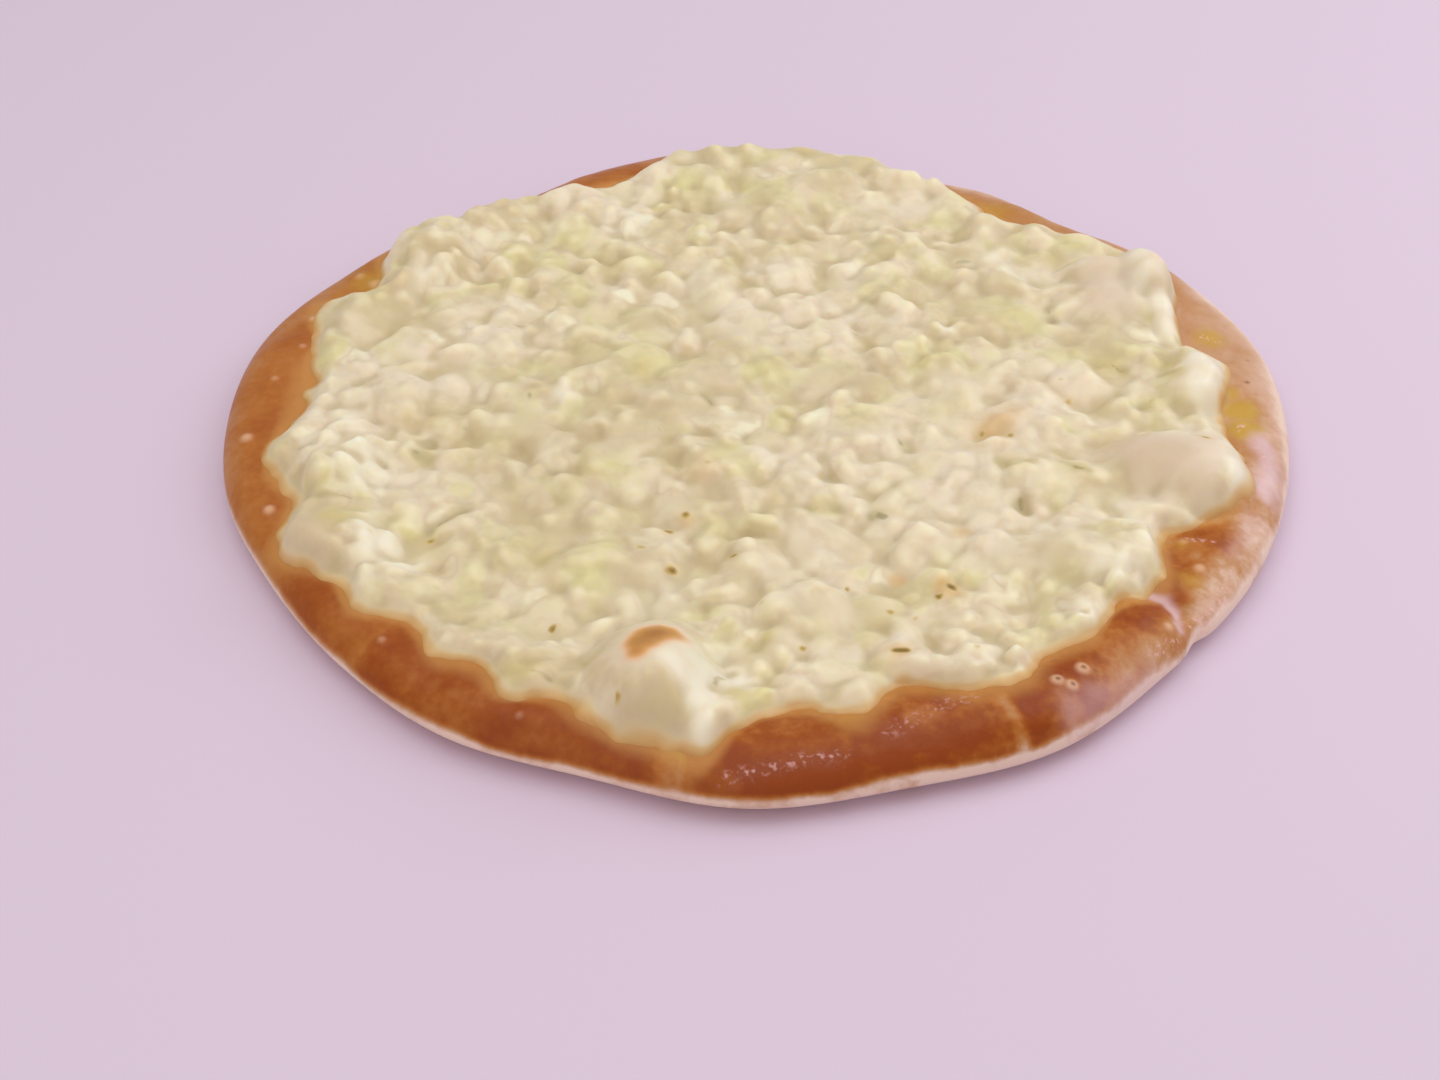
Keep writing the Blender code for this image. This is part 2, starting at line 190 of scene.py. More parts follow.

# hollows and creases between the lumps, cut in and darkened with painted shade: from x, y, to x, y,
# half width, depth
GROOVES = (
    (-88, -50, -81, -46, 2.2, 1.2), (-96, -17, -95, -30, 2.4, 1.5), (-119, -43, -108, -46, 1.6, 1.1),
    (-68, 1, -66, 9, 2.6, 1.5), (-115, 12, -111, 13, 1.6, 0.9), (-77, 39, -69, 43, 3, 1.1),
    (-97, 49, -93, 50, 2, 0.9), (-86, -12, -82, -12, 1.8, 0.9), (-126, -24, -122, -25, 1.8, 0.9),
    (-48, 51, -44, 49, 2.4, 1), (-32, 46, -22, 36, 2.2, 0.9), (-15, 8, -14, 3, 1.8, 1.2),
    (4, 28, 11, 31, 2.2, 1), (7, -2, 10, -10, 2.2, 1.1), (-3, -8, -3, -15, 1.4, 1),
    (-29, -5, -28, -14, 2, 1), (-38, 20, -31, 16, 2.8, 0.6), (-48, -9, -46, -15, 1.8, 0.9),
    (-55, -42, -52, -45, 2, 0.8), (29, -47, 34, -52, 2.2, 1.8), (41, -12, 42, -19, 1.8, 1.3),
    (14, -43, 21, -45, 2.4, 0.9), (67, -26, 71, -30, 2.2, 1.1), (69, -40, 72, -48, 2.4, 1.4),
    (25, -29, 38, -32, 1.4, 0.9), (47, -8, 50, -9, 1.6, 0.9), (-52, -68, -45, -66, 1.3, 0.8),
    (-75, -93, -66, -93, 1.8, 0.8), (-84, -79, -78, -81, 2, 0.9), (-61, -114, -51, -115, 1.8, 1.6),
    (82, -26, 90, -33, 2.4, 1.5), (91, 53, 90, 44, 2, 1.2), (95, 52, 100, 56, 1.8, 0.9),
    (101, 22, 107, 18, 2.4, 1.3), (118, 27, 121, 21, 1.8, 1.1), (117, 14, 120, 11, 1.8, 1.1),
    (109, 2, 115, 4, 1.8, 0.9), (-13, -121, -8, -109, 1.8, 1.4), (-28, 99, -25, 98, 2.2, 1),
    (-46, 90, -42, 88, 2.2, 1), (-52, 79, -47, 79, 2.2, 1), (-38, 76, -34, 76, 2.2, 1),
    (-75, 76, -71, 76, 1.8, 0.9), (-87, 67, -79, 66, 2.8, 1.2), (3, 65, 10, 56, 1.8, 1),
    (10, 56, 20, 61, 1.8, 1), (28, 38, 33, 38, 2.2, 1), (60, 77, 68, 73, 2.2, 1.1),
    (35, 53, 37, 50, 2, 0.9), (63, -12, 72, -13, 3.2, 0.6),
)

# painted shade: dark spots at the bottom of the deeper hollows
PIT_WIDE = 0.6      # half width, for each millimetre of the hollow's depth
PIT_DEEP = 1.8      # depth of the darkest
PIT_IN = 0.3        # how far in from the hollow's ends, as a share of its length

# soft raised folds: points along the top, half width, height
RIDGES = (
    # up the front bubble, and on its left face
    (((-26, -123.5), (-23.5, -126), (-21, -130.5), (-19.3, -133), (-17.6, -135)), 2.6, 1.2),
    (((-40, -115), (-43, -120), (-43.5, -126), (-41, -131)), 2.4, 0.8),
    (((-34.5, -129), (-31, -130), (-27.5, -129)), 0.9, 0.4),
    (((-36, -121), (-34.5, -124.5), (-31, -125.5)), 1.4, 0.5),
    (((-39, -113), (-38.5, -118), (-37, -122)), 1.3, 0.45),
    # on the right-hand bubbles
    (((112.5, 58), (115, 49), (118, 42), (120, 38)), 2, 0.7),
    (((122, 20), (127, 17.5), (133, 18)), 3, 0.6),
    (((121, 12), (126, 10.5), (133, 11)), 2.4, 0.6),
    (((120, 4), (124, 3), (131, 3)), 3, 0.6),
    # in front of the browned hollow, and round the small bubble at the front
    (((60, -18), (67, -19), (75, -18)), 1.7, 1),
    (((30, -103), (35, -101), (41, -103), (40, -108), (34, -109), (29, -106)), 1.6, 0.8),
)

# browned specks on the cheese: x, y, size, strength
SPECKS = (
    (-25, -54.5, 1.2, 0.9), (-23.5, -71, 1.3, 0.95), (-20.3, -49, 1.3, 0.8), (-8, -65.5, 1.3, 0.85),
    (-53.4, -92.7, 1.2, 0.85), (-32.7, -62.7, 1.1, 0.5), (-35, -76, 1, 0.4), (22.5, -78, 0.9, 0.8),
    (-88.3, -56.6, 1.3, 0.7), (-35.8, -127.3, 0.9, 0.85), (33.4, -88, 1, 0.6), (10, -102, 1.1, 0.7),
    (50.5, -77.3, 1.4, 1), (45.8, -81, 1.1, 0.9), (63.6, -11.2, 1.4, 0.65), (71, -15, 1.4, 0.7),
    (90, 3, 1.2, 0.5), (88, 11, 1, 0.4), (123.3, -24.6, 1.4, 0.7), (0, -86, 1.1, 0.4),
    (-104, -61.5, 1.3, 0.35), (53, -106, 1.2, 0.4), (-14.2, -29, 1.4, 0.4), (39, -89.5, 0.9, 0.5),
)

# browned splits in the cheese: points along them, half width, strength
SPLITS = ((((33, -104.8), (36, -105)), 1, 0.9),)

# clusters of small lumps that stand up from the cheese: x, y, size, strength
CLUSTERS = (
    (-114, -25, 12, 1), (-104, -62, 9, 1), (-97, -71, 7, 0.9), (-98, 74, 11, 0.8),
    (131, -42, 6, 0.8), (97, -62, 8, 0.7), (106, -69, 7, 0.8), (90, -77, 9, 1), (81, -91, 6, 0.9),
    (57, -106, 11, 1), (-56, 7, 7, 0.5),
    (-26, 110, 9, 0.6), (60, 38, 7, 0.6), (4, -112, 8, 0.5),
)

# warm tan patches round the most baked spots: x, y, size, strength
TANS = (
    (-15, -30, 7, 0.45), (-9, -28, 6, 0.3), (67, -10, 8, 0.9), (73, -4, 6, 0.6), (36, -72.5, 2.6, 0.8),
    (54, -56, 3.2, 0.7), (49, -78.5, 4.6, 1), (-20, -51, 3.4, 0.5), (-88, -58, 4, 0.35),
    (34.5, -105, 4.2, 0.8), (123, -25, 4.5, 0.5), (90, 5, 6, 0.3), (0, 60, 6, 0.2), (-98, -8, 6, 0.25),
    (-110, 60, 8, 0.35), (-86, -70, 6, 0.3), (45, 115, 8, 0.3), (-23, -71, 3, 0.35),
    (-25, -55, 3, 0.35), (-8, -66, 3, 0.4), (-38, -118, 3.5, 0.3), (-33, -124, 3, 0.25),
    (-41, -127, 3.5, 0.3), (-34, -133, 4, 0.3), (-30, -119, 2.5, 0.2),
)

# yellow-green patches where the cheese is thin and oily: x, y, size, strength
OLIVES = (
    (-34, 17, 6, 0.8), (18, -44, 5, 0.9), (8, -6, 4.5, 0.8), (-95, -24, 6, 0.7), (-83, -24, 9, 0.5),
    (-6, -120, 5.5, 0.9), (69, -28, 5, 0.7), (86, -30, 6, 0.9), (104, 20, 6, 0.8), (119, 22, 5, 0.8),
    (119, 11, 5, 0.8), (-57, -68, 7, 0.7), (-66, -60, 8, 0.5), (96, 76, 5, 0.7), (-114, -54, 6, 0.9),
    (0, -98, 8, 0.45), (15, -86, 7, 0.4), (112, 3, 5, 0.6), (40, 20, 8, 0.3), (-55, 45, 9, 0.35),
    (25, 60, 9, 0.35), (-5, -22, 7, 0.5), (-28, -130, 7, 0.35), (-104, 20, 7, 0.5), (-61, -113, 5, 0.8),
)

# whitest patches: mostly a painted highlight on faces turned to the light, partly whiter thin cheese:
# x, y, size, strength
WHITES_AND_HIGHLIGHTS = (
    (-18, -120, 7, 1), (-15, -127, 6, 1), (-15.5, -133.5, 4, 0.9), (-13, -114, 7, 1),
    (-7, -113, 7, 0.8), (-10, -105, 6, 0.6), (-20, -108, 6, 0.7), (90, -76, 8, 0.8), (81, -92, 5, 0.7),
    (119, 55, 5, 0.8), (122.5, 44, 5, 0.9), (122, 35, 4, 0.7), (117, 63, 5, 0.7),
    (129, 17, 7, 0.9), (126, 5, 7, 0.8), (133, 11, 6, 0.8), (131, -37, 4.5, 0.9), (134, -43, 4, 0.7),
    (124, -47, 4, 0.4), (94, -49, 7, 0.6), (100, -64, 6, 0.7), (110, -66, 6, 0.7), (94, -75, 6, 0.6),
    (84, -92, 5, 0.5), (-113, -26, 9, 1), (-116, -14, 6, 0.7), (-109, -34, 7, 0.8),
    (-107, -56, 6, 0.6), (-101, -63, 8, 0.9), (-95, -70, 6, 0.8), (-103, -77, 5, 0.5),
    (38, 108, 6, 0.5), (41, 116, 5, 0.6), (57, 39, 4, 0.9), (72, 76, 5, 0.6), (84, 66, 5, 0.5),
    (-20, 133, 7, 0.5), (-6, 113, 6, 0.4), (-100, 66, 6, 0.6), (2, -22, 5, 0.6), (-56, 7, 4.5, 0.8),
    (34, -101, 3.5, 0.7), (36, -109, 4, 0.6), (-26, 28, 4, 0.5), (59, -104, 7, 0.4), (3, 25, 5, 0.3),
    (-28, -82, 12, 0.55), (-12, -104, 6, 0.6), (-43, -92, 9, 0.4),
)

# painted shade on the sides of bubbles turned from the light, with faint toasting: x, y, size, strength
SHADES = (
    (-37, -122, 9, 0.3), (-31, -130, 8, 0.35), (-42, -112, 8, 0.3), (-25, -135, 6, 0.35),
    (-118, -64, 8, 0.7), (-129, -24, 7, 0.7),
    (102, -20, 11, 0.8), (110, -32, 11, 1), (117, -42, 8, 0.7), (104, 48, 9, 0.6), (96, 56, 8, 0.5),
)

# the browned crescent on top of the front bubble: points along it, half width, strength
CRESCENT = (
    (((-31, -117.5), (-30, -113.5)), 3.1, 0.675), (((-30, -113.5), (-28, -110)), 4.2, 0.925),
    (((-28, -110), (-25.8, -108)), 4.5, 0.975), (((-25.8, -108), (-23.5, -107.3)), 4.2, 0.7),
    (((-23.5, -107.3), (-20.5, -107.5)), 3.9, 0.335), (((-20.5, -107.5), (-18.5, -109)), 3.4, 0.17),
)

# blisters on the rim, paler, their colour partly a painted highlight: x, y, size, rise
BLISTERS = (
    (72.6, -114.9, 2.1, 1), (76.2, -116.2, 2, 1), (79.6, -110.2, 2.2, 1), (-145.3, -12.2, 2.4, 0.8),
    (-141.5, 15.9, 1.8, 0.6), (-135.7, 32.3, 1.8, 0.6), (-134.8, 47.5, 2, 0.7), (-123.4, 70.5, 2.2, 0.7),
    (-118.1, 66, 2.6, 0.9), (-134, -44, 2.2, 0.8), (-97, -97, 1.8, 0.6), (115.5, -70.7, 2.2, 0.8),
    (138, -6, 2, 0.8), (104, -93, 1.8, 0.7), (-60, -125, 1.8, 0.5), (113, -59, 1.8, 0.6),
)

# brown dots on the rim, some in the middle of a blister: x, y, size, strength
DOTS = (
    (72.8, -114.9, 0.9, 1), (76.4, -116.2, 0.9, 1), (79.8, -110.2, 0.9, 1), (83, -110, 1, 0.7),
    (146.4, 27.3, 1, 0.6), (143.7, 14.4, 1.1, 0.8), (127, -34, 2.6, 0.5), (121, -38, 2, 0.4),
    (67, -109, 1.2, 0.6),
)

# golden oily patches on the rim: x, y, size, strength
GOLDS = (
    (137.5, 9, 4.5, 0.8), (139, 1, 6, 1), (139, -8, 6, 1), (136.5, 38, 6, 0.8), (-21, -136, 4, 0.5),
    (-120, 68, 9, 0.6), (-127, 60, 6, 0.4), (112, -75, 5, 0.5), (20, -128, 8, 0.3), (78, 108, 9, 0.5),
    (112, -60, 3, 0.5),
)

# painted highlights: white glints scattered on the oiled rim: points along their track, half width,
# strength
PAINTED_GLINTS = (
    (((-10, -143.4), (-1, -142), (6, -140), (12, -138.8), (19, -137)), 1.6, 0.6),
    (((30, -131), (38, -126), (46, -121), (51, -120)), 2.6, 0.45),
    (((110, -88.5), (114, -86), (118, -82), (122.6, -75)), 1.6, 1),
    (((98, -102), (103, -98), (106, -94.5)), 1.8, 0.7),
    (((137.6, -7.8), (138.8, -6.6)), 1.3, 1),
    (((134.5, 38.5), (138.5, 37)), 1.4, 0.9),
    (((113, -57), (121, -59)), 1.2, 0.6),
    (((141, -14), (142, -22), (139.5, -33)), 1.6, 0.7),
)

# the oily gloss on the rim, with a smooth lilac-pink painted reflection: points along it, half width,
# strength
GLOSS_AND_REFLECTIONS = (
    (((142.5, -13), (143.5, -20), (142.5, -28), (139.5, -37)), 4.2, 0.85),
    (((100, -79.5), (104.5, -81), (107, -85), (107.6, -91)), 1.7, 0.8),
    (((76, -122), (88, -115), (98, -107)), 5, 0.45),
    (((30, -131), (38, -126), (46, -121)), 4, 0.12),
    (((-8, -143.4), (6, -140.5), (17, -138)), 2.2, 0.12),
    (((126, -62), (131, -54), (135, -47)), 4, 0.35),
)

# how brown the crust is, all round: bearing, share; on its outer face and on top of it
OUTER_BROWN = ((0, 0.28), (25, 0.29), (50, 0.42), (75, 0.54), (105, 0.62), (140, 0.57), (165, 0.56),
               (190, 0.60), (215, 0.76), (240, 0.87), (265, 0.96), (285, 0.97), (300, 0.84),
               (315, 0.52), (330, 0.40), (345, 0.28))
INNER_BROWN = ((0, 0.36), (12, 0.33), (25, 0.37), (50, 0.50), (75, 0.57), (105, 0.64), (140, 0.64),
               (165, 0.66), (190, 0.69), (215, 0.81), (240, 0.84), (265, 0.80), (285, 0.82),
               (300, 0.88), (315, 0.81), (330, 0.69), (338, 0.60), (346, 0.40))

# how high the rim's pale foot reaches, all round: bearing, height
PALE = ((0, 8.5), (25, 8.0), (50, 8.0), (75, 7.0), (105, 6.0), (140, 5.4), (190, 5.4), (215, 5.8),
        (240, 6.2), (265, 6.4), (285, 7.2), (300, 7.6), (315, 7.8), (335, 8.0))

# how blotchy the browning is, all round: bearing, share
BLOTCHY = ((0, 0.6), (90, 0.7), (180, 0.6), (250, 1.0), (300, 1.5), (335, 1.4))

# narrow pale streaks across the browned rim: bearing, half width in degrees, strength
STREAKS = ((261.8, 0.35, 0.2), (260.6, 2.2, 0.25), (295.8, 0.75, 0.5), (224.0, 0.8, 0.15))

# where they end and where the outer face's brown becomes the top's: how far in, over what width
STREAK_IN, STREAK_RUN = 16.0, 6.0
FACE_IN, FACE_RUN = 4.5, 8.0

PALE_RUN = 3.2      # height over which the pale foot turns brown
WAVY = 6.0          # how wide the waves in these borders are
PALE_WAVE = 0.5     # how far the pale foot follows them

# the golden band along the cheese: its width, how far the waves change that, its range
BAND, BAND_WAVE, BAND_RANGE = 5.0, 2.5, (1.5, 9.0)

# the maps that hold the relief and the colours
HALF_MAP = 166.0    # half the length of their sides
CELL = 0.5          # from one point to the next

# how finely the surfaces are divided
CHEESE_RINGS = 172
UNDER_RINGS = 30
EVEN_REACH = 132.0    # the middle rings are spaced as in a round of this radius
RAGGED = 5            # how late the outer rings take up the ragged outline
CRUST_POINTS = 1080   # points round the crust
CRUST_STEPS = 44      # rings from under the cheese out to the waist
HEEL_STEPS = 16       # rings from the waist in to the flat bottom
CHEESE_OVER = 3.0     # how far the cheese's mesh runs past its edge
CHEESE_UNDER = 8.0    # how far in under it the crust's fine rings start
CHEESE_SUNK = 2.5     # how deep its hidden underside lies in the dough


def around(points, bearing):
    """Read a smooth closed curve through (bearing, value) points."""
    angle, value = np.array(points, dtype=float).T
    angle = np.concatenate([angle - 360, angle, angle + 360])
    value = np.tile(value, 3)
    slope = np.gradient(value, angle)
    left = np.clip(np.searchsorted(angle, bearing, side="right") - 1, 0, len(angle) - 2)
    span = angle[left + 1] - angle[left]
    t = (bearing - angle[left]) / span
    rise = value[left + 1] - value[left]
    pull_in = slope[left] * span - rise
    pull_out = rise - slope[left + 1] * span
    return value[left] + t * rise + t * (1 - t) * ((1 - t) * pull_in + t * pull_out)


def polar(x, y):
    """Bearing, from 0 up to 360 degrees, and distance from the middle."""
    return np.degrees(np.arctan2(y, x)) % 360, np.hypot(x, y)


def from_polar(bearing, radius):
    return radius * np.cos(np.radians(bearing)), radius * np.sin(np.radians(bearing))


def smoothstep(t):
    t = np.clip(t, 0, 1)
    return t * t * (3 - 2 * t)


def oval_share(x, y, mid_x, mid_y, long, slim, turn):
    """How far each point is from an oval's middle, as a share of the way to its rim."""
    c, s = math.cos(math.radians(turn)), math.sin(math.radians(turn))
    along = ((x - mid_x) * c + (y - mid_y) * s) / long
    across = ((y - mid_y) * c - (x - mid_x) * s) / slim
    return np.hypot(along, across)


def fold(bearing, radius):
    """The fold across the rim: 1 along its bottom, falling to 0 at its sides."""
    off = np.radians(bearing - FOLD_AT) * radius / FOLD_WIDTH
    return np.exp(-off ** 2)


def outer_edge(bearing):
    reach = around(EDGE, bearing)
    return reach - FOLD_NOTCH * fold(bearing, reach)


def cheese_edge(bearing):
    return around(EDGE, bearing) - around(CRUST, bearing)


def bubble_rise(x, y):
    """Height that the bubbles add, and the share of the lumps that they take away."""
    rise = np.zeros_like(x)
    bare = np.zeros_like(x)
    for mid_x, mid_y, long, slim, turn, height, smooth in BUBBLES:
        q = np.clip(oval_share(x, y, mid_x, mid_y, long, slim, turn), 0, 1)
        dome = (1 - q ** BUBBLE_FULL) ** BUBBLE_FOOT
        rise += (height * dome) ** BUBBLE_JOIN
        bare = np.maximum(bare, smooth * dome)
    return rise ** (1 / BUBBLE_JOIN), bare


def bread_top(x, y):
    """Height of the dough's upper side."""
    bearing, radius = polar(x, y)
    inward = outer_edge(bearing) - radius
    crest = around(CREST, bearing)
    shoulder = 1 - np.clip(inward / CREST_IN, 0, 1)
    outer = WAIST + (crest - WAIST) * np.sqrt(1 - shoulder ** 2)
    dish = (crest - DOUGH) * smoothstep((inward - CREST_IN) / DISH)
    on_rim = smoothstep(inward / WAIST) * smoothstep(1 - (inward - CREST_IN) / DISH)
    return outer - dish + bubble_rise(x, y)[0] - FOLD_DEEP * fold(bearing, radius) * on_rim


def bread_bottom(inward):
    """Height of the underside at a distance in from the edge."""
    shoulder = 1 - np.clip(inward / HEEL, 0, 1)
    return WAIST * (1 - np.sqrt(1 - shoulder ** 2))


def scatter(pitch, long, slim, rise, seed):
    """Ovals on a jittered triangular grid over the whole bread: x, y, long, slim, turn, rise."""
    draw = np.random.RandomState(seed)
    reach = max(radius for bearing, radius in EDGE)
    row_gap = pitch * math.sqrt(3) / 2
    rows = int(reach / row_gap) + 1
    columns = int(reach / pitch) + 1
    ovals = []
    for row in range(-rows, rows + 1):
        for column in range(-columns, columns + 1):
            stray_x, stray_y, size, width, turn, height = draw.rand(6)
            mid_x = (column + row % 2 / 2 + (stray_x - 0.5) * JITTER) * pitch
            mid_y = row * row_gap + (stray_y - 0.5) * JITTER * pitch
            length = long[0] + (long[1] - long[0]) * size ** MOSTLY_SMALL
            width = length * (slim[0] + (slim[1] - slim[0]) * width)
            height = rise[0] + (rise[1] - rise[0]) * height
            ovals.append((mid_x, mid_y, length, width, 90 + (2 * turn - 1) * TURN_STRAY, height))
    return ovals


def other_lumps():
    """Random lumps wherever the lumps in the table leave room."""
    return [oval for oval in scatter(*OTHER_LUMPS)
            if min(oval_share(*oval[:2], *lump[:5]) for lump in LUMPS) > 1]


# maps: square grids of values over the bread, in rows of rising y
line = np.arange(-HALF_MAP, HALF_MAP + CELL / 2, CELL)
map_x, map_y = np.meshgrid(line, line)


def blur(field, width):
    """Soften a map over a width in millimetres."""
    across = np.fft.rfftfreq(len(line), CELL)[None, :]
    up = np.fft.fftfreq(len(line), CELL)[:, None]
    gain = np.exp(-2 * (math.pi * width) ** 2 * (across ** 2 + up ** 2))
    return np.fft.irfft2(np.fft.rfft2(field) * gain, s=field.shape)


def grain(width, seed):
    """A smooth random map with bumps about this wide, of standard deviation 1."""
    field = blur(np.random.RandomState(seed).randn(len(line), len(line)), width)
    return field / field.std()


def window(mid_x, mid_y, reach):
    """The rows and columns of the maps within reach of a point."""
    low = [int((at - reach + HALF_MAP) / CELL) for at in (mid_y, mid_x)]
    high = [int((at + reach + HALF_MAP) / CELL) + 2 for at in (mid_y, mid_x)]
    return tuple(slice(max(a, 0), max(b, 0)) for a, b in zip(low, high))


def strayed(x, y, far, width, seed):
    """Coordinates that stray from x and y, so that what is drawn on them is irregular."""
    return x + far * grain(width, seed), y + far * grain(width, seed + 1)


def waves(height, width, seed):
    return height * grain(width, seed)


def patchy(middle, height, width, seed, most):
    """A random strength from 0 up to the most, with waves about its middle."""
    return np.clip(middle + waves(height, width, seed), 0, most)


def lay_lumps(ovals, places, seed, base, reach_of, profile):
    """Lay lumps over one another: the height of the highest at each point, and its random tone."""
    draw = np.random.RandomState(seed)
    rise = np.full_like(map_x, base)
    tone = np.full_like(map_x, 0.5)
    for mid_x, mid_y, long, slim, turn, height in ovals:
        toward, shade = draw.rand(2)
        spot = window(mid_x, mid_y, reach_of(long))
        off_x, off_y = places[0][spot] - mid_x, places[1][spot] - mid_y
        q = oval_share(off_x, off_y, 0, 0, long, slim, turn)
        lean = (off_x * math.cos(math.tau * toward) + off_y * math.sin(math.tau * toward)) / long
        lump = profile(q, lean, height)
        tone[spot] = np.where(lump > rise[spot], shade, tone[spot])
        rise[spot] = np.maximum(rise[spot], lump)
    return rise, tone


def lumps_map(ovals, seed, bend=BEND):
    """Height that rounded lumps add, each leaning to one side, and a random tone for each lump."""
    def profile(q, lean, height):
        dome = (1 - np.clip(q, 0, 1) ** LUMP_FLAT) ** LUMP_FULL
        return height * dome * (1 + LEAN * np.clip(lean, -1, 1))

    places = strayed(map_x, map_y, bend, BEND_WIDE, seed)
    return lay_lumps(ovals, places, seed, 0.0, lambda long: long + STRAY, profile)


def packed_map(ovals, bulge, seed):
    """Height of melted flakes that overlap, each tilted and with a random tone, and no room between."""
    def profile(q, lean, height):
        return height + bulge * (1 - q ** FLAKE_FLAT + LEAN * lean)

    places = strayed(map_x, map_y, BEND, BEND_WIDE, seed)
    places = strayed(*places, JAG, JAG_WIDE, seed + 7)
    rise, tone = lay_lumps(ovals, places, seed, -bulge, lambda long: 2 * long, profile)
    return rise - rise.mean(), tone


def spots_map(spots, x, y):
    """Soft round spots of (x, y, size, strength): the strongest at each point."""
    field = np.zeros_like(map_x)
    for mid_x, mid_y, size, strength in spots:
        spot = window(mid_x, mid_y, FADE * size + STRAY)
        off = np.hypot(x[spot] - mid_x, y[spot] - mid_y) / size
        field[spot] = np.maximum(field[spot], strength * np.exp(-off ** 2))
    return field


def lines_map(lines, x, y):
    """Soft lines of (points, half width, strength): the strongest at each point."""
    field = np.zeros_like(map_x)
    for points, width, strength in lines:
        for (x0, y0), (x1, y1) in zip(points, points[1:]):
            reach = math.hypot(x1 - x0, y1 - y0) / 2 + FADE * width + STRAY
            spot = window((x0 + x1) / 2, (y0 + y1) / 2, reach)
            along = (x[spot] - x0) * (x1 - x0) + (y[spot] - y0) * (y1 - y0)
            along = np.clip(along / ((x1 - x0) ** 2 + (y1 - y0) ** 2), 0, 1)
            off = np.hypot(x[spot] - x0 - along * (x1 - x0), y[spot] - y0 - along * (y1 - y0))
            field[spot] = np.maximum(field[spot], strength * np.exp(-(off / width) ** 2))
    return field


def read(field, x, y):
    """Read a map at points, smoothly between its cells."""
    column, row = (x + HALF_MAP) / CELL, (y + HALF_MAP) / CELL
    left, low = column.astype(int), row.astype(int)
    t, u = column - left, row - low
    below = field[low, left] * (1 - t) + field[low, left + 1] * t
    above = field[low + 1, left] * (1 - t) + field[low + 1, left + 1] * t
    return below * (1 - u) + above * u


def larger(first, second, softness):
    """The larger of two maps, rounded over where they meet."""
    return (first + second + np.sqrt((first - second) ** 2 + softness ** 2)) / 2


def hollow_maps(x, y):
    """Depth of the hollows between the lumps, and how dark the painted shade at their bottoms is."""
    out, near = 1 - PIT_IN, PIT_IN
    hollows = []
    pits = []
    for x0, y0, x1, y1, width, depth in GROOVES:
        hollows.append((((x0, y0), (x1, y1)), width, depth))
        track = (out * x0 + near * x1, out * y0 + near * y1), (near * x0 + out * x1, near * y0 + out * y1)
        pits.append((track, PIT_WIDE * depth, depth / PIT_DEEP))
    return lines_map(hollows, x, y) * patchy(*HOLLOWED), lines_map(pits, x, y) * patchy(*PITTED)


def heap_up(lumps, flakes, crumbs, knobs, cluster, melted):
    """The curds lying on one another, settled where they have melted, standing up in a cluster."""
    def kept(everywhere, firm, clustered):
        return everywhere + firm * (1 - melted) + clustered * cluster

    heap = kept(*FLAKES_KEPT) * flakes + kept(*CRUMBS_KEPT) * crumbs
    heap += knobs * kept(*KNOBS_KEPT) * (1 - cluster)
    heap = larger(heap, blur(heap, GAP_WIDE) - GAP_DEEP, GAP_SOFT)
    heap += (blur(heap, SOFT["melted"]) - heap) * melted * MELT_LOST
    return heap + blur(lumps, SOFT["lumps"]) * (1 - LUMPS_LOST * cluster) + knobs * cluster


